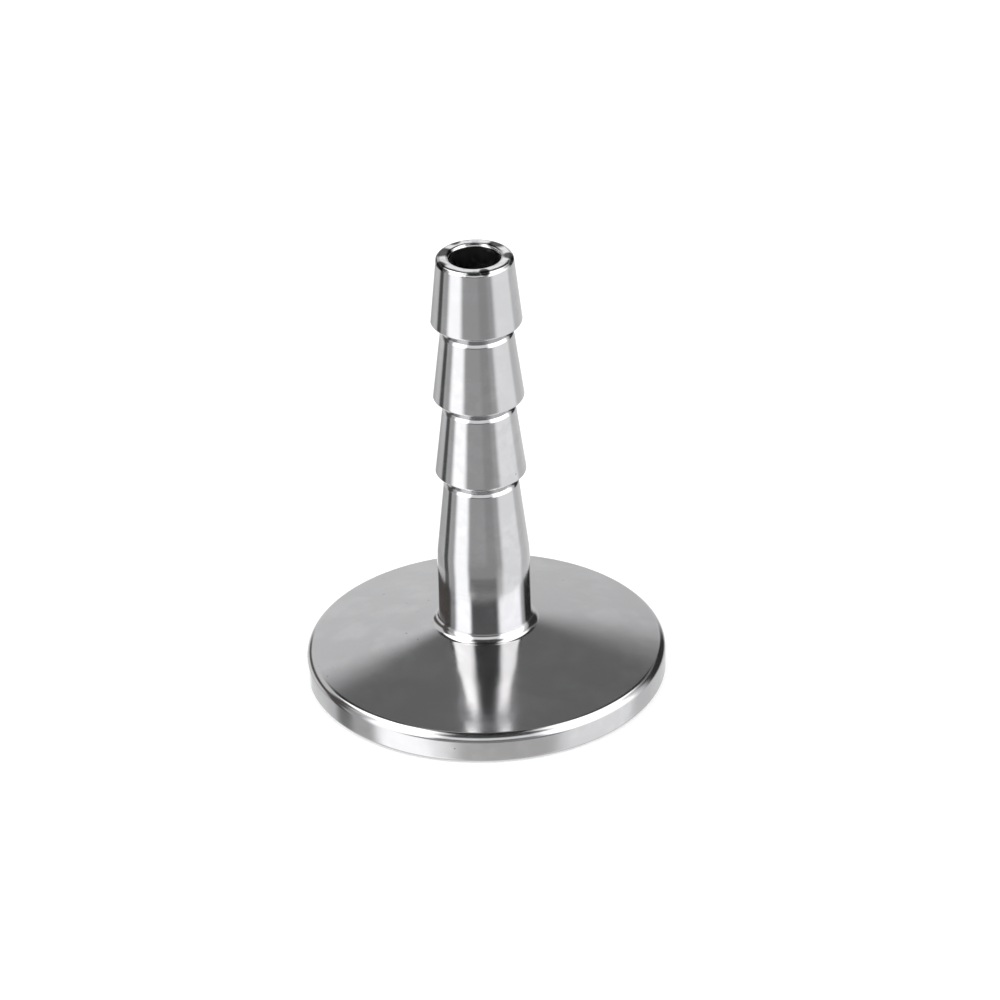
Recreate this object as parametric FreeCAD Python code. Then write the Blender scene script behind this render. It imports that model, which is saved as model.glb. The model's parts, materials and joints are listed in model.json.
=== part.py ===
import FreeCAD, Part
import math
import os

# A hose barb on a round sanitary clamp flange, turned from one bar of stainless steel.
# The part stands on its sealing face: origin at the middle of that face, bore along +Z.
# Lengths are in millimetres and angles in degrees.

# Clamp flange, its upper side a shallow cone that the clamp's jaws press on
flange_diameter = 50.5
rim_height = 4.15
bevel_angle = 12.5
rim_top_rounding = 1.25
rim_face_rounding = 0.6

# Gasket groove in the sealing face
groove_diameter = 43.5
groove_width = 3.2
groove_depth = 1.3

# Bore, straight through
bore_diameter = 7.0
bore_face_rounding = 0.4
bore_mouth_rounding = 0.5

# Neck: a plain cylinder, then a taper up to the lowest barb
neck_diameter = 13.0
neck_foot_rounding = 1.4
neck_plain_length = 10.9
neck_taper_length = 13.0
neck_small_diameter = 10.5
neck_shoulder_rounding = 6.0

# Hose barbs, the highest one ending in the mouth
barb_count = 3
barb_pitch = 11.7
barb_crest_diameter = 12.75
barb_small_diameter = 10.25
crest_rounding = 0.3
mouth_barb_length = 9.9
mouth_diameter = 10.7
mouth_rounding = 0.7

# The short shoulder that each taper ends in, drawn in under the barb above it
shoulder_height = 1.7
shoulder_drop = 0.45
shoulder_rounding = 2.0
root_rounding = 0.2

# A rounding takes at most this share of either side of its corner
rounding_share = 0.45

spin_axis = FreeCAD.Vector(0, 0, 1)


def point(radius, height):
    """A point of the half section, which lies in the XZ plane."""
    return FreeCAD.Vector(radius, 0, height)


def flange_corners():
    """Corners of the rim and of the neck's foot, each with its rounding, and the foot's height."""
    rim = flange_diameter / 2
    neck = neck_diameter / 2
    foot_height = rim_height + (rim - neck) * math.tan(math.radians(bevel_angle))
    corners = [
        (point(rim, 0), rim_face_rounding),
        (point(rim, rim_height), rim_top_rounding),
        (point(neck, foot_height), neck_foot_rounding),
    ]
    return corners, foot_height


def shoulder_corners(small_radius, height):
    """The end of a taper, from its small end to the root of the barb above."""
    return [
        (point(small_radius, height - shoulder_height), shoulder_rounding),
        (point(small_radius - shoulder_drop, height), root_rounding),
    ]


def neck_corners(foot_height):
    """Corners of the neck above its foot, and the height of the lowest barb's underside."""
    plain_top = foot_height + neck_plain_length
    neck_top = plain_top + neck_taper_length
    corners = [(point(neck_diameter / 2, plain_top), neck_shoulder_rounding)]
    corners += shoulder_corners(neck_small_diameter / 2, neck_top)
    return corners, neck_top


def barb_corners(neck_top):
    """Corners from the lowest crest up to the mouth's outer edge, and the mouth's height."""
    corners = []
    for number in range(barb_count):
        underside = neck_top + number * barb_pitch
        corners.append((point(barb_crest_diameter / 2, underside), crest_rounding))
        if number < barb_count - 1:
            corners += shoulder_corners(barb_small_diameter / 2, underside + barb_pitch)
    mouth_height = underside + mouth_barb_length
    corners.append((point(mouth_diameter / 2, mouth_height), mouth_rounding))
    return corners, mouth_height


def section_corners():
    """The whole half section, counter-clockwise from the rim's lower edge to the bore."""
    flange, foot_height = flange_corners()
    neck, neck_top = neck_corners(foot_height)
    barbs, mouth_height = barb_corners(neck_top)
    bore = [
        (point(bore_diameter / 2, mouth_height), bore_mouth_rounding),
        (point(bore_diameter / 2, 0), bore_face_rounding),
    ]
    return flange + neck + barbs + bore


def rounded_corner(before, corner, after, rounding):
    """The tangent arc of one corner, with the points where it meets the two sides."""
    back = before - corner
    ahead = after - corner
    half_angle = back.getAngle(ahead) / 2
    longest_reach = rounding_share * min(back.Length, ahead.Length)
    reach = min(rounding / math.tan(half_angle), longest_reach)
    radius = reach * math.tan(half_angle)
    back.normalize()
    ahead.normalize()
    inward = (back + ahead).normalize()
    start = corner + back * reach
    end = corner + ahead * reach
    middle = corner + inward * (radius / math.sin(half_angle) - radius)
    return start, Part.Arc(start, middle, end).toShape(), end


def rounded_outline(corners):
    """A closed wire with straight sides through the corners and an arc at each of them."""
    places = [corner for corner, rounding in corners]
    following = places[1:] + places[:1]
    preceding = places[-1:] + places[:-1]
    bends = []
    for (corner, rounding), before, after in zip(corners, preceding, following):
        bends.append(rounded_corner(before, corner, after, rounding))
    edges = []
    for (start, arc, end), next_bend in zip(bends, bends[1:] + bends[:1]):
        edges += [arc, Part.makeLine(end, next_bend[0])]
    return Part.Wire(edges)


def turned(outline):
    """The solid that a closed half section sweeps round the part's axis."""
    return Part.Face(outline).revolve(point(0, 0), spin_axis, 360)


def gasket_groove():
    """The ring that the gasket's round bead seats in, as the solid to cut from the sealing face."""
    middle = groove_diameter / 2
    inner = middle - groove_width / 2
    outer = middle + groove_width / 2
    bottom = Part.Arc(point(outer, 0), point(middle, groove_depth), point(inner, 0)).toShape()
    below = [point(inner, 0), point(inner, -groove_depth), point(outer, -groove_depth), point(outer, 0)]
    return turned(Part.Wire([bottom] + Part.makePolygon(below).Edges))


def hose_barb():
    """The finished fitting, one solid."""
    body = turned(rounded_outline(section_corners()))
    return body.cut(gasket_groove())


os.makedirs("parts", exist_ok=True)
fitting = hose_barb()
fitting.exportStep("parts/clamp_hose_barb.step")
print("solids", len(fitting.Solids), "valid", fitting.isValid(), "faces", len(fitting.Faces))
print("volume", round(fitting.Volume, 1), "height", round(fitting.optimalBoundingBox().ZLength, 3))
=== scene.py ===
import json
import math

import bpy
from mathutils import Matrix, Vector

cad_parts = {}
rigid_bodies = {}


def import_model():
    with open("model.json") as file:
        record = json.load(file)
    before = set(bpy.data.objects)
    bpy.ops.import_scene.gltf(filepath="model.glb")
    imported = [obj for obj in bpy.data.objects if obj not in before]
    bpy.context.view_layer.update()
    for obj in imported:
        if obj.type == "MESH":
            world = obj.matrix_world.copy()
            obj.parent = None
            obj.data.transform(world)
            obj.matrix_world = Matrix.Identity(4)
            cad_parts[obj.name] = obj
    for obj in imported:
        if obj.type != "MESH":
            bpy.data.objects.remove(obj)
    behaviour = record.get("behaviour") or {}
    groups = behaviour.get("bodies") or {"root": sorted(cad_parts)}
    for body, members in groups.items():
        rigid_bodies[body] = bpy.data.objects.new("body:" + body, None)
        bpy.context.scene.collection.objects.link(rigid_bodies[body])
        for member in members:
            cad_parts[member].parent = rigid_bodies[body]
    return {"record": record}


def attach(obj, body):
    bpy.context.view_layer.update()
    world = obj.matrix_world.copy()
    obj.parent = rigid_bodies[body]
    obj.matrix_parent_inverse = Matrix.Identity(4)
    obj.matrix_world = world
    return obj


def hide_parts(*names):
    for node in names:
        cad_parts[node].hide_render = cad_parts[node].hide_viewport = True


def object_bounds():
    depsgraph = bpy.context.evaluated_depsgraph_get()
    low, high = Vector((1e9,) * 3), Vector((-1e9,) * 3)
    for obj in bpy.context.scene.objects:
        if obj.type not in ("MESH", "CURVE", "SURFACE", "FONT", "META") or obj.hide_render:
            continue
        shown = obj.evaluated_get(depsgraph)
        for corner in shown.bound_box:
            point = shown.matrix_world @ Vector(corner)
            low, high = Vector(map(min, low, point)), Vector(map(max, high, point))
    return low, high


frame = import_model()
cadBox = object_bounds()

# Sanitary clamp hose barb, turned from one bar of stainless steel and polished.
# It stands on its sealing face with the bore straight up. Lengths in metres, angles in degrees.

nodeName = "clamp_hose_barb"
mounts = {mount["name"]: mount for mount in frame["record"]["mounts"]}
rimRadius = mounts["clamp_rim"]["dims"]["r_mm"] / 1000
boreRadius = mounts["bore"]["dims"]["r_mm"] / 1000
mouthHeight = cadBox[1].z

flange = dict(
    rimHeight=0.00415,
    bevel=12.5,
    topRounding=0.00125,
    faceRounding=0.0006,
    grooveRadius=0.02175,
    grooveWidth=0.0032,
    grooveDepth=0.0013,
)

neck = dict(
    radius=0.0065,
    footRounding=0.0014,
    plainLength=0.0109,
    taperLength=0.013,
    smallRadius=0.00525,
    shoulderRounding=0.02,  # a soft start of the taper
)

barbs = dict(
    count=3,
    pitch=0.0117,
    crestRadius=0.006375,
    smallRadius=0.005125,
    crestRounding=0.0003,
    mouthRadius=0.00535,
    mouthRounding=0.0007,
)

# The relief under each barb, as (drop from the taper, depth below the crest, rounding): an even
# slope, then a steep one down to the root
relief = [
    (0, 0.00175, 0.0006),
    (0.000195, 0.0013, 0.0003),
    (0.00062, 0.00088, 0.0002),
    (0.00062, 0, 0.0002),
]

bore = dict(
    mouthRounding=0.0005,
    faceRounding=0.0004,
)

turning = dict(
    steps=288,  # faces round the axis
    roundingFaces=8,  # faces across each rounded corner
    grooveFaces=16,
    samePlace=1e-6,  # points nearer than this are one point
    sharpEdge=35,
    shadingWeight=100,
    seedSize=0.002,  # the plane that is merged into the first point
    facingDown=-0.1,  # a face whose normal is lower than this looks at the table
)


def objectMode():
    if bpy.context.object and bpy.context.object.mode != "OBJECT":
        bpy.ops.object.mode_set(mode="OBJECT")


def startClean():
    objectMode()
    bpy.ops.object.select_all(action="DESELECT")


def shoulderCorners(smallRadius, height):
    # a taper ends in a short shoulder that draws in under the barb above
    return [(smallRadius - drop, height - depth, rounding) for drop, depth, rounding in relief]


def grooveCorners():
    # the gasket groove's round bottom, from its inner edge to its outer one
    half, depth = flange["grooveWidth"] / 2, flange["grooveDepth"]
    arcRadius = (half * half + depth * depth) / (2 * depth)
    spread = 2 * math.atan(depth / half)
    points = []
    for number in range(turning["grooveFaces"] + 1):
        turn = spread * (2 * number / turning["grooveFaces"] - 1)
        radius = flange["grooveRadius"] + arcRadius * math.sin(turn)
        points.append((radius, depth - arcRadius * (1 - math.cos(turn)), 0))
    return points


def sectionCorners():
    # (radius, height, rounding): up the outside from the rim, down the bore and out along the
    # sealing face
    bevelRise = (rimRadius - neck["radius"]) * math.tan(math.radians(flange["bevel"]))
    footHeight = flange["rimHeight"] + bevelRise
    plainTop = footHeight + neck["plainLength"]
    lowestCrest = plainTop + neck["taperLength"]
    corners = [
        (rimRadius, 0, flange["faceRounding"]),
        (rimRadius, flange["rimHeight"], flange["topRounding"]),
        (neck["radius"], footHeight, neck["footRounding"]),
        (neck["radius"], plainTop, neck["shoulderRounding"]),
    ]
    corners += shoulderCorners(neck["smallRadius"], lowestCrest)
    for number in range(barbs["count"]):
        crest = lowestCrest + number * barbs["pitch"]
        corners.append((barbs["crestRadius"], crest, barbs["crestRounding"]))
        if number < barbs["count"] - 1:
            corners += shoulderCorners(barbs["smallRadius"], crest + barbs["pitch"])
    corners += [
        (barbs["mouthRadius"], mouthHeight, barbs["mouthRounding"]),
        (boreRadius, mouthHeight, bore["mouthRounding"]),
        (boreRadius, 0, bore["faceRounding"]),
    ]
    return corners + grooveCorners()


def selectPoints(piece, places):
    bpy.ops.object.mode_set(mode="EDIT")
    bpy.ops.mesh.select_mode(type="VERT")
    bpy.ops.mesh.select_all(action="DESELECT")
    objectMode()
    wanted = [Vector((radius, 0, height)) for radius, height in places]
    for point in piece.data.vertices:
        point.select = any((point.co - place).length < turning["samePlace"] for place in wanted)
    bpy.ops.object.mode_set(mode="EDIT")
    bpy.ops.mesh.select_mode(type="VERT")


def drawSection(corners):
    # a plane merged to one point, pulled from corner to corner, then closed
    startClean()
    start = (corners[0][0], 0, corners[0][1])
    bpy.ops.mesh.primitive_plane_add(size=turning["seedSize"], location=start)
    piece = bpy.context.object
    bpy.ops.object.transform_apply(location=True, rotation=True, scale=True)
    bpy.ops.object.mode_set(mode="EDIT")
    bpy.ops.mesh.select_mode(type="VERT")
    bpy.ops.mesh.merge(type="CENTER")
    for here, there in zip(corners, corners[1:]):
        step = (there[0] - here[0], 0, there[1] - here[1])
        bpy.ops.mesh.extrude_region_move(TRANSFORM_OT_translate={"value": step})
    selectPoints(piece, [corners[0][:2], corners[-1][:2]])
    bpy.ops.mesh.edge_face_add()
    return piece


def roundCorners(piece, corners):
    following = corners[1:] + corners[:1]
    preceding = corners[-1:] + corners[:-1]
    for (radius, height, rounding), before, after in zip(corners, preceding, following):
        if rounding == 0:
            continue
        back = Vector((before[0] - radius, before[1] - height))
        ahead = Vector((after[0] - radius, after[1] - height))
        selectPoints(piece, [(radius, height)])
        bpy.ops.mesh.bevel(
            offset_type="OFFSET",
            offset=rounding / math.tan(back.angle(ahead) / 2),
            segments=turning["roundingFaces"],
            affect="VERTICES",
        )


def spinSection(piece):
    bpy.ops.object.mode_set(mode="EDIT")
    bpy.ops.mesh.select_all(action="SELECT")
    bpy.ops.mesh.spin(steps=turning["steps"], angle=math.tau, center=(0, 0, 0), axis=(0, 0, 1))
    bpy.ops.mesh.select_all(action="SELECT")
    bpy.ops.mesh.remove_doubles(threshold=turning["samePlace"])
    bpy.ops.mesh.normals_make_consistent(inside=False)
    objectMode()
    bpy.ops.object.shade_smooth_by_angle(angle=math.radians(turning["sharpEdge"]))
    bpy.ops.object.modifier_add(type="WEIGHTED_NORMAL")
    evenShading = piece.modifiers[-1]
    evenShading.weight = turning["shadingWeight"]
    evenShading.keep_sharp = True
    bpy.ops.object.modifier_apply(modifier=evenShading.name)


def regionOf(centre, normal):
    # which finish a face gets, by where it lies on the section
    radius = math.hypot(centre.x, centre.y)
    if radius < boreRadius + bore["mouthRounding"] and centre.z < mouthHeight - bore["mouthRounding"]:
        return "boreWall"
    if centre.z > mouthHeight - barbs["mouthRounding"]:
        return "mouthLip"
    if normal.z < turning["facingDown"] and centre.z < flange["grooveDepth"]:
        return "sealingFace"
    if centre.z < flange["rimHeight"] and radius > rimRadius - flange["topRounding"]:
        return "rimEdge"
    if radius > neck["radius"] + neck["footRounding"]:
        return "facedCone" if centre.z > flange["grooveDepth"] else "sealingFace"
    return "turnedShank"


# The finish of each region, by the name of its material
finishes = dict(
    turnedShank=dict(ringsRun="up", ringSize=0.00016, ringDepth=0.25, roughness=(0.09, 0.14), specks=0.3),
    facedCone=dict(ringsRun="out", ringSize=0.00018, ringDepth=0.25, roughness=(0.09, 0.15), specks=1.0),
    rimEdge=dict(ringsRun="up", ringSize=0.00014, ringDepth=0.35, roughness=(0.12, 0.18), specks=0.6),
    mouthLip=dict(ringsRun="out", ringSize=0.00012, ringDepth=0.4, roughness=(0.10, 0.16), specks=0.5),
    boreWall=dict(ringsRun="up", ringSize=0.00030, ringDepth=1.0, roughness=(0.24, 0.36), specks=0.3),
    sealingFace=dict(ringsRun="out", ringSize=0.00022, ringDepth=0.6, roughness=(0.16, 0.24), specks=0.6),
)

# Stains and dents that a region has besides: the share of it stained, how dark and how large the stains
# are, and how deep the dents. On the mouth's lip the dark stains are painted dark reflection, and on the
# bore's wall they are painted shade that darkens the hole
blemishesAndPaintedShade = dict(
    turnedShank=dict(share=0.35, shade=0.93, size=0.0016, dents=0.000004),
    facedCone=dict(share=0.38, shade=0.92, size=0.0050, dents=0.000012),
    rimEdge=dict(share=0.35, shade=0.93, size=0.0030, dents=0.00001),
    mouthLip=dict(share=0.24, shade=0.55, size=0.0020, dents=0.00013),
    boreWall=dict(share=0.55, shade=0.30, size=0.0022, dents=0.00008),
    sealingFace=dict(share=0.35, shade=0.93, size=0.0040, dents=0.000004),
)

# Painted dark reflection on the mouth's lip: nearly black patches, as (x, y, reach) seen from above
lipPaintedDarkPatches = [
    (-0.0043, 0.0015, 0.00145),
    (-0.0027, 0.0043, 0.00095),
    (0.0034, 0.0036, 0.00135),
    (0.0050, -0.0003, 0.00115),
    (-0.0050, -0.0023, 0.00105),
    (0.0013, -0.0046, 0.0007),
]

steel = dict(
    paleTint=(0.630, 0.630, 0.642, 1),
    darkTint=(0.582, 0.582, 0.593, 1),
    speckTint=(0.36, 0.35, 0.34, 1),
    stainAndShadeEdge=0.22,
    # nearly black, for the patches of painted dark reflection on the lip
    paintedReflectionTint=(0.03, 0.03, 0.03, 1),
    paintedPatchEdge=(1.2, 1.7),  # it fades out between these, in reaches
    tintEdge=(0.35, 0.65),  # the pattern's levels between which the tint changes
    roughnessEdge=(0.3, 0.7),
    marksDepth=0.000003,
    marksDrift=60,  # how fast the rings change round the axis
    marksDetail=3.0,
    patchSize=0.007,
    patchDetail=4.0,
    patchRoughness=0.6,
    blotDetail=1.5,
    speckSize=0.0016,
    speckRadius=0.10,
    speckCore=0.5,  # the part of the radius that is fully dark
    speckShare=0.10,
    anisotropy=0.25,
    anisotropyTurn=0.25,
)


def addNode(tree, kind, **settings):
    node = tree.nodes.new(kind)
    for name, value in settings.items():
        setattr(node, name, value)
    return node


def plug(tree, source, socket):
    if hasattr(source, "is_linked"):
        tree.links.new(source, socket)
    else:
        socket.default_value = source


def mathStep(tree, operation, *values):
    node = addNode(tree, "ShaderNodeMath", operation=operation)
    for value, socket in zip(values, node.inputs):
        plug(tree, value, socket)
    return node.outputs["Value"]


def fade(tree, value, fromLow, fromHigh, toLow=0.0, toHigh=1.0):
    node = addNode(tree, "ShaderNodeMapRange", interpolation_type="SMOOTHSTEP")
    names = ("Value", "From Min", "From Max", "To Min", "To Max")
    for name, given in zip(names, (value, fromLow, fromHigh, toLow, toHigh)):
        plug(tree, given, node.inputs[name])
    return node.outputs["Result"]


def fadeOut(tree, value, edge, soft):
    return fade(tree, value, edge - soft, edge + soft, 1.0, 0.0)


def mixColours(tree, share, first, second):
    node = addNode(tree, "ShaderNodeMix", data_type="RGBA")
    plug(tree, share, node.inputs[0])
    plug(tree, first, node.inputs[6])
    plug(tree, second, node.inputs[7])
    return node.outputs[2]


def noise(tree, vector, size, detail, roughness=0.5):
    node = addNode(tree, "ShaderNodeTexNoise")
    plug(tree, vector, node.inputs["Vector"])
    node.inputs["Scale"].default_value = 1 / size
    node.inputs["Detail"].default_value = detail
    node.inputs["Roughness"].default_value = roughness
    return node.outputs["Fac"]


def distanceFromAxis(tree, x, y):
    squares = mathStep(tree, "ADD", mathStep(tree, "MULTIPLY", x, x), mathStep(tree, "MULTIPLY", y, y))
    return mathStep(tree, "SQRT", squares)


def bearingOf(tree, x, y):
    # degrees from the camera's side, positive to its right
    return mathStep(tree, "DEGREES", mathStep(tree, "ARCTAN2", x, mathStep(tree, "MULTIPLY", y, -1.0)))


def ringCoordinates(tree, position, ringsRun, ringSize):
    # across the rings the pattern is fine, and round the axis it drifts slowly
    apart = addNode(tree, "ShaderNodeSeparateXYZ")
    plug(tree, position, apart.inputs[0])
    x, y, z = apart.outputs
    across = z if ringsRun == "up" else distanceFromAxis(tree, x, y)
    joined = addNode(tree, "ShaderNodeCombineXYZ")
    plug(tree, mathStep(tree, "MULTIPLY", x, steel["marksDrift"]), joined.inputs[0])
    plug(tree, mathStep(tree, "MULTIPLY", y, steel["marksDrift"]), joined.inputs[1])
    plug(tree, mathStep(tree, "DIVIDE", across, ringSize), joined.inputs[2])
    return joined.outputs[0]


def paintedLipDarkPatchesAt(tree, position, ragged):
    # 1 inside a patch of painted dark reflection, with an edge that the ragged pattern moves in and out
    darkestShare = 0.0
    for x, y, reach in lipPaintedDarkPatches:
        apart = addNode(tree, "ShaderNodeVectorMath", operation="DISTANCE")
        plug(tree, position, apart.inputs[0])
        apart.inputs[1].default_value = (x, y, mouthHeight)
        away = mathStep(tree, "ADD", mathStep(tree, "DIVIDE", apart.outputs["Value"], reach), ragged)
        darkestShare = mathStep(tree, "MAXIMUM", darkestShare, fade(tree, away, *steel["paintedPatchEdge"], 1.0, 0.0))
    return darkestShare


def steelFinish(name, look, blemishAndShade):
    material = bpy.data.materials.new(name)
    material.use_nodes = True
    tree = material.node_tree
    shader = tree.nodes["Principled BSDF"]
    position = addNode(tree, "ShaderNodeTexCoord").outputs["Object"]
    ringPlaces = ringCoordinates(tree, position, look["ringsRun"], look["ringSize"])
    rings = noise(tree, ringPlaces, 1.0, steel["marksDetail"])
    patches = noise(tree, position, steel["patchSize"], steel["patchDetail"], steel["patchRoughness"])
    blots = noise(tree, position, blemishAndShade["size"], steel["blotDetail"])

    # a few small pits, each a dot inside a cell that chance picks
    cells = addNode(tree, "ShaderNodeTexVoronoi")
    plug(tree, position, cells.inputs["Vector"])
    cells.inputs["Scale"].default_value = 1 / steel["speckSize"]
    core = steel["speckRadius"] * steel["speckCore"]
    dot = fade(tree, cells.outputs["Distance"], core, steel["speckRadius"], 1.0, 0.0)
    chance = addNode(tree, "ShaderNodeSeparateColor")
    plug(tree, cells.outputs["Color"], chance.inputs[0])
    picked = mathStep(tree, "LESS_THAN", chance.outputs[0], steel["speckShare"] * look["specks"])
    specks = mathStep(tree, "MULTIPLY", dot, picked)

    pale = fade(tree, patches, *steel["tintEdge"])
    tint = mixColours(tree, pale, steel["darkTint"], steel["paleTint"])
    # stains darken the tint; on the bore's wall this is painted shade, and on the lip painted dark
    # reflection
    stainAndShadeTint = tuple(channel * blemishAndShade["shade"] for channel in steel["paleTint"][:3]) + (1,)
    stainAndShadeShare = fade(tree, blots, blemishAndShade["share"], blemishAndShade["share"] + steel["stainAndShadeEdge"], 1.0, 0.0)
    tint = mixColours(tree, stainAndShadeShare, tint, stainAndShadeTint)
    # the lip gets nearly black patches of painted dark reflection
    if name == "mouthLip":
        tint = mixColours(tree, paintedLipDarkPatchesAt(tree, position, blots), tint, steel["paintedReflectionTint"])
    plug(tree, mixColours(tree, specks, tint, steel["speckTint"]), shader.inputs["Base Color"])
    blend = mathStep(tree, "MULTIPLY", mathStep(tree, "ADD", rings, patches), 0.5)
    roughness = fade(tree, blend, *steel["roughnessEdge"], *look["roughness"])
    plug(tree, roughness, shader.inputs["Roughness"])

    # the dents bend the surface first and the turning marks lie on top
    dents = addNode(tree, "ShaderNodeBump")
    dents.inputs["Distance"].default_value = blemishAndShade["dents"]
    plug(tree, blots, dents.inputs["Height"])
    marks = addNode(tree, "ShaderNodeBump")
    marks.inputs["Strength"].default_value = look["ringDepth"]
    marks.inputs["Distance"].default_value = steel["marksDepth"]
    plug(tree, mathStep(tree, "SUBTRACT", rings, specks), marks.inputs["Height"])
    plug(tree, dents.outputs["Normal"], marks.inputs["Normal"])
    plug(tree, marks.outputs["Normal"], shader.inputs["Normal"])
    shader.inputs["Metallic"].default_value = 1.0
    shader.inputs["Anisotropic"].default_value = steel["anisotropy"]
    shader.inputs["Anisotropic Rotation"].default_value = steel["anisotropyTurn"]
    around = addNode(tree, "ShaderNodeTangent", direction_type="RADIAL", axis="Z")
    plug(tree, around.outputs["Tangent"], shader.inputs["Tangent"])
    return material


corners = sectionCorners()
turnedBody = drawSection(corners)
roundCorners(turnedBody, corners)
spinSection(turnedBody)
turnedBody.name = "turned_body"
turnedBody.data.name = "turned_body"
print("turned body:", len(turnedBody.data.polygons), "faces")

slotNumbers = {}
for number, (name, look) in enumerate(finishes.items()):
    turnedBody.data.materials.append(steelFinish(name, look, blemishesAndPaintedShade[name]))
    slotNumbers[name] = number
for face in turnedBody.data.polygons:
    face.material_index = slotNumbers[regionOf(face.center, face.normal)]
print("finishes:", ", ".join(finishes))

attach(turnedBody, "root")
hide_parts(nodeName)


# The studio that the metal mirrors. Bearings run from the camera's side, positive to its right,
# and heights are above the horizon. Each card fades over its soft edge.
studio = dict(wallGlow=0.78, roomGlow=0.75)  # as mirrored, and as it lights the dull floor
plain = (1, 1, 1)
warm = (1, 0.985, 0.96)
brown = (1, 0.86, 0.78)
cards = dict(
    rightRearWall=dict(bearing=162, halfWidth=20, height=5, halfHeight=30, soft=5, glow=0.71),
    frontTable=dict(bearing=3, halfWidth=40, height=-55, halfHeight=33, soft=7, glow=0.62, tint=warm),
    frontGrey=dict(bearing=4, halfWidth=42, height=-15, halfHeight=10, soft=7, glow=0.46),
    frontShade=dict(bearing=19, halfWidth=12, height=-17, halfHeight=8, soft=6, glow=0.38),
    frontStrip=dict(bearing=0, halfWidth=46, height=25, halfHeight=14, soft=5, glow=1.0),
    frontDark=dict(bearing=4, halfWidth=42, height=60, halfHeight=22, soft=6, glow=0.08),
    ceiling=dict(bearing=0, halfWidth=190, height=90, halfHeight=20, soft=4, glow=0.02),
    rightWall=dict(bearing=78, halfWidth=30, height=-32, halfHeight=26, soft=7, glow=1.10),
    rightRear=dict(bearing=120, halfWidth=14, height=-20, halfHeight=12, soft=7, glow=0.72),
    rearLeft=dict(bearing=-153, halfWidth=31, height=51, halfHeight=13, soft=5, glow=0.19),
    rearRight=dict(bearing=153, halfWidth=31, height=50, halfHeight=21, soft=8, glow=0.19),
    leftRearCorner=dict(bearing=-140, halfWidth=16, height=52, halfHeight=13, soft=4, glow=0.05),
    leftFlag=dict(bearing=-105, halfWidth=9, height=4, halfHeight=38, soft=5, glow=0.10),
    leftGrey=dict(bearing=-86, halfWidth=9, height=-10, halfHeight=30, soft=5, glow=0.50),
    rightFlag=dict(bearing=133, halfWidth=21, height=8, halfHeight=22, soft=6, glow=0.04),
    leftBox=dict(bearing=-82, halfWidth=40, height=48, halfHeight=10, soft=5, glow=2.4, tint=warm),
    leftBoxTop=dict(bearing=-90, halfWidth=34, height=65, halfHeight=9, soft=5, glow=2.8, tint=warm),
    rightBox=dict(bearing=90, halfWidth=40, height=48, halfHeight=10, soft=5, glow=2.1, tint=warm),
    rightBoxTop=dict(bearing=95, halfWidth=35, height=65, halfHeight=9, soft=5, glow=2.4, tint=warm),
    rightRearCorner=dict(bearing=141, halfWidth=15, height=50, halfHeight=15, soft=4, glow=0.05),
    leftLow=dict(bearing=-48, halfWidth=24, height=-46, halfHeight=18, soft=9, glow=1.45),
    leftCard=dict(bearing=-57, halfWidth=18, height=-30, halfHeight=30, soft=7, glow=1.62),
    leftWindow=dict(bearing=-54, halfWidth=21, height=21, halfHeight=22, soft=7, glow=2.6),
    rightWindow=dict(bearing=66, halfWidth=32, height=18, halfHeight=26, soft=7, glow=2.3),
    frontMiddle=dict(bearing=-2, halfWidth=32, height=3, halfHeight=9, soft=5, glow=0.14),
    leftRearDark=dict(bearing=-124, halfWidth=32, height=6, halfHeight=9, soft=4, glow=0.12, tint=brown),
    rearLow=dict(bearing=-155, halfWidth=32, height=-38, halfHeight=18, soft=8, glow=1.25),
    leftRearFlag=dict(bearing=-138, halfWidth=20, height=-27, halfHeight=5, soft=4, glow=0.5),
    rearMiddle=dict(bearing=180, halfWidth=8, height=28, halfHeight=7, soft=3, glow=1.3),
)


def cardShare(tree, bearing, height, card):
    away = mathStep(tree, "WRAP", mathStep(tree, "SUBTRACT", bearing, card["bearing"]), 180.0, -180.0)
    across = mathStep(tree, "ABSOLUTE", away)
    upright = mathStep(tree, "ABSOLUTE", mathStep(tree, "SUBTRACT", height, card["height"]))
    inWidth = fadeOut(tree, across, card["halfWidth"], card["soft"])
    inHeight = fadeOut(tree, upright, card["halfHeight"], card["soft"])
    return mathStep(tree, "MULTIPLY", inWidth, inHeight)


def buildStudio():
    world = bpy.data.worlds.new("studio")
    bpy.context.scene.world = world
    world.use_nodes = True
    tree = world.node_tree
    world.cycles.sampling_method = "NONE"  # rays find it by themselves, so it isn't sampled
    background = tree.nodes["Background"]
    direction = addNode(tree, "ShaderNodeSeparateXYZ")
    plug(tree, addNode(tree, "ShaderNodeTexCoord").outputs["Generated"], direction.inputs[0])
    x, y, z = direction.outputs
    bearing = bearingOf(tree, x, y)
    height = mathStep(tree, "DEGREES", mathStep(tree, "ARCSINE", z))
    glow = (studio["wallGlow"],) * 3 + (1,)
    for card in cards.values():
        share = cardShare(tree, bearing, height, card)
        tint = card.get("tint", plain)
        glow = mixColours(tree, share, glow, tuple(card["glow"] * channel for channel in tint) + (1,))
    rays = addNode(tree, "ShaderNodeLightPath")
    room = (studio["roomGlow"],) * 3 + (1,)
    mirrored = mixColours(tree, rays.outputs["Is Glossy Ray"], room, glow)
    seen = mixColours(tree, rays.outputs["Is Camera Ray"], mirrored, (1, 1, 1, 1))
    plug(tree, seen, background.inputs["Color"])


table = dict(size=3.0, drop=0.00004, colour=(0.8, 0.8, 0.8, 1), whiteLift=0.3)


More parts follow.
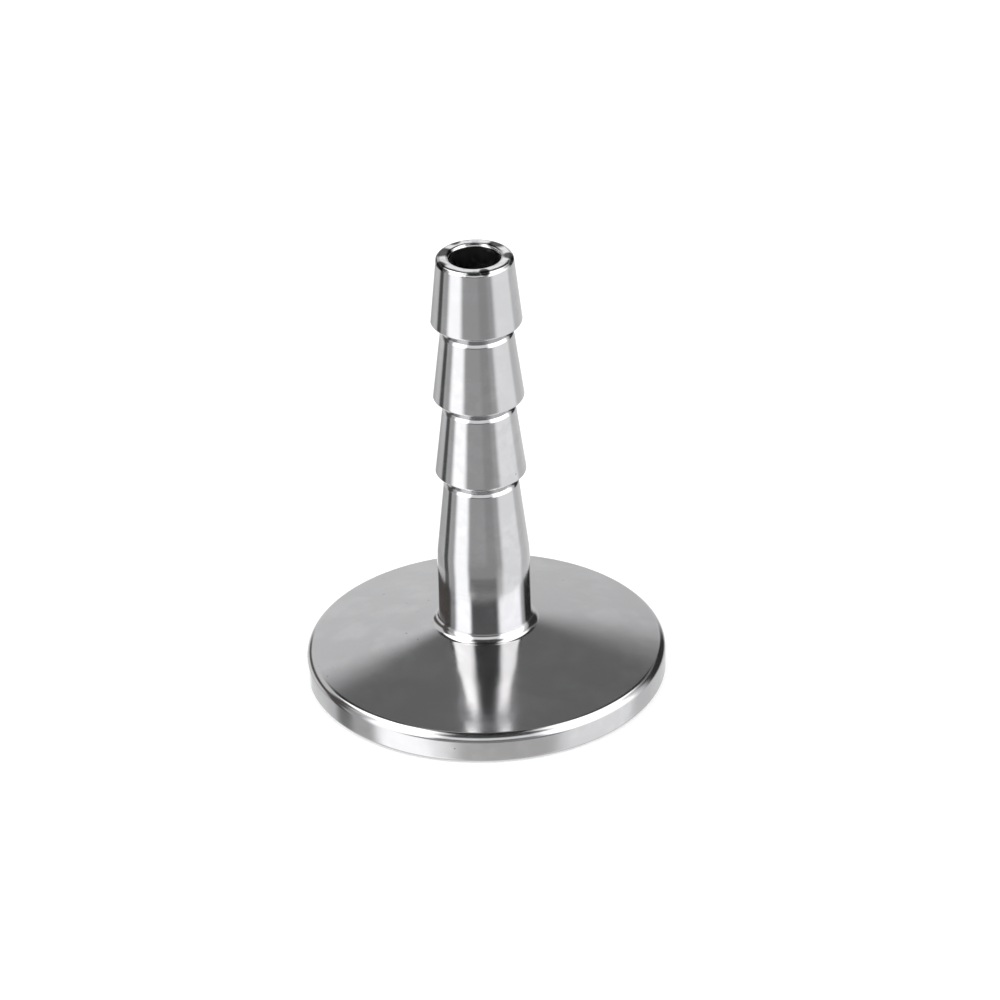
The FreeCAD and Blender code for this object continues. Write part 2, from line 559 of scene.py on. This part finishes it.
def buildTable():
    startClean()
    bpy.ops.mesh.primitive_plane_add(size=table["size"], location=(0, 0, -table["drop"]))
    floor = bpy.context.object
    floor.name = "floor"
    floor.visible_glossy = False
    material = bpy.data.materials.new("whiteTable")
    material.use_nodes = True
    tree = material.node_tree
    tree.nodes.remove(tree.nodes["Principled BSDF"])
    paper = addNode(tree, "ShaderNodeBsdfDiffuse")
    paper.inputs["Color"].default_value = table["colour"]
    lift = addNode(tree, "ShaderNodeEmission")
    rays = addNode(tree, "ShaderNodeLightPath")
    lifted = mathStep(tree, "MULTIPLY", rays.outputs["Is Camera Ray"], table["whiteLift"])
    plug(tree, lifted, lift.inputs["Strength"])
    both = addNode(tree, "ShaderNodeAddShader")
    plug(tree, paper.outputs[0], both.inputs[0])
    plug(tree, lift.outputs[0], both.inputs[1])
    plug(tree, both.outputs[0], tree.nodes["Material Output"].inputs["Surface"])
    floor.data.materials.append(material)


# A dark card on the table in front of the part, that only the plain neck mirrors: near the rim it
# is darkest, and its edges fade out
darkCard = dict(
    size=0.16,
    lift=0.0004,
    reach=(0.030, 0.034, 0.060, 0.075),  # it fades in over the first two and out over the others
    bearing=-3,
    halfWidth=32,
    soft=6,
    nearGlow=0.16,
    farGlow=0.38,
    glowReach=(0.032, 0.042),
)


def buildDarkCard():
    startClean()
    bpy.ops.mesh.primitive_plane_add(size=darkCard["size"], location=(0, 0, darkCard["lift"]))
    bpy.ops.object.transform_apply(location=True, rotation=True, scale=True)
    card = bpy.context.object
    card.name = "dark_card"
    for rayKind in ("camera", "diffuse", "transmission", "shadow", "volume_scatter"):
        setattr(card, "visible_" + rayKind, False)
    material = bpy.data.materials.new("darkCard")
    material.use_nodes = True
    tree = material.node_tree
    tree.nodes.remove(tree.nodes["Principled BSDF"])
    place = addNode(tree, "ShaderNodeSeparateXYZ")
    plug(tree, addNode(tree, "ShaderNodeTexCoord").outputs["Object"], place.inputs[0])
    x, y = place.outputs[:2]
    radius = distanceFromAxis(tree, x, y)
    turned = mathStep(tree, "SUBTRACT", bearingOf(tree, x, y), darkCard["bearing"])
    aside = mathStep(tree, "ABSOLUTE", turned)
    inStart, inEnd, outStart, outEnd = darkCard["reach"]
    begun = fade(tree, radius, inStart, inEnd)
    notEnded = fade(tree, radius, outStart, outEnd, 1.0, 0.0)
    inWidth = fadeOut(tree, aside, darkCard["halfWidth"], darkCard["soft"])
    share = mathStep(tree, "MULTIPLY", mathStep(tree, "MULTIPLY", begun, notEnded), inWidth)
    glow = addNode(tree, "ShaderNodeEmission")
    strength = fade(tree, radius, *darkCard["glowReach"], darkCard["nearGlow"], darkCard["farGlow"])
    plug(tree, strength, glow.inputs["Strength"])
    mixed = addNode(tree, "ShaderNodeMixShader")
    plug(tree, share, mixed.inputs[0])
    plug(tree, addNode(tree, "ShaderNodeBsdfTransparent").outputs[0], mixed.inputs[1])
    plug(tree, glow.outputs[0], mixed.inputs[2])
    plug(tree, mixed.outputs[0], tree.nodes["Material Output"].inputs["Surface"])
    card.data.materials.append(material)


# Two soft lamps light the table only, since the metal doesn't mirror them
lamps = dict(
    leftLamp=dict(place=(-0.55, -0.1, 0.75), size=0.6, power=3.0),
    rightLamp=dict(place=(0.6, -0.05, 0.7), size=0.6, power=2.5),
)


def buildLamps():
    for name, lamp in lamps.items():
        startClean()
        place = Vector(lamp["place"])
        aim = place.to_track_quat("Z", "Y").to_euler()
        bpy.ops.object.light_add(type="AREA", location=place, rotation=aim)
        light = bpy.context.object
        light.name = name
        light.data.size = lamp["size"]
        light.data.energy = lamp["power"]
        light.visible_glossy = False
        light.visible_camera = False


# The photograph's view, found from the outline of the part
shot = dict(
    distance=0.85,
    elevation=29.743,
    aimHeight=0.028,
    roll=1.741,
    pan=0.1705,
    tilt=-0.0487,
    lens=220.24,
    sensor=36,
    nearest=0.01,
    farthest=20,
)


def buildCamera():
    startClean()
    rise = math.radians(shot["elevation"])
    away = Vector((0, -math.cos(rise), math.sin(rise))) * shot["distance"]
    place = away + Vector((0, 0, shot["aimHeight"]))
    turn = Matrix.Rotation(math.radians(90) - rise, 3, "X")
    turn = turn @ Matrix.Rotation(-math.radians(shot["pan"]), 3, "Y")
    turn = turn @ Matrix.Rotation(math.radians(shot["tilt"]), 3, "X")
    turn = turn @ Matrix.Rotation(-math.radians(shot["roll"]), 3, "Z")
    bpy.ops.object.camera_add(location=place, rotation=turn.to_euler())
    camera = bpy.context.object
    camera.data.lens = shot["lens"]
    camera.data.sensor_width = shot["sensor"]
    camera.data.clip_start = shot["nearest"]
    camera.data.clip_end = shot["farthest"]
    bpy.context.scene.camera = camera


buildStudio()
buildTable()
buildDarkCard()
buildLamps()
buildCamera()
bpy.context.scene.view_settings.view_transform = "Standard"
print("studio, table, lamps and camera set")
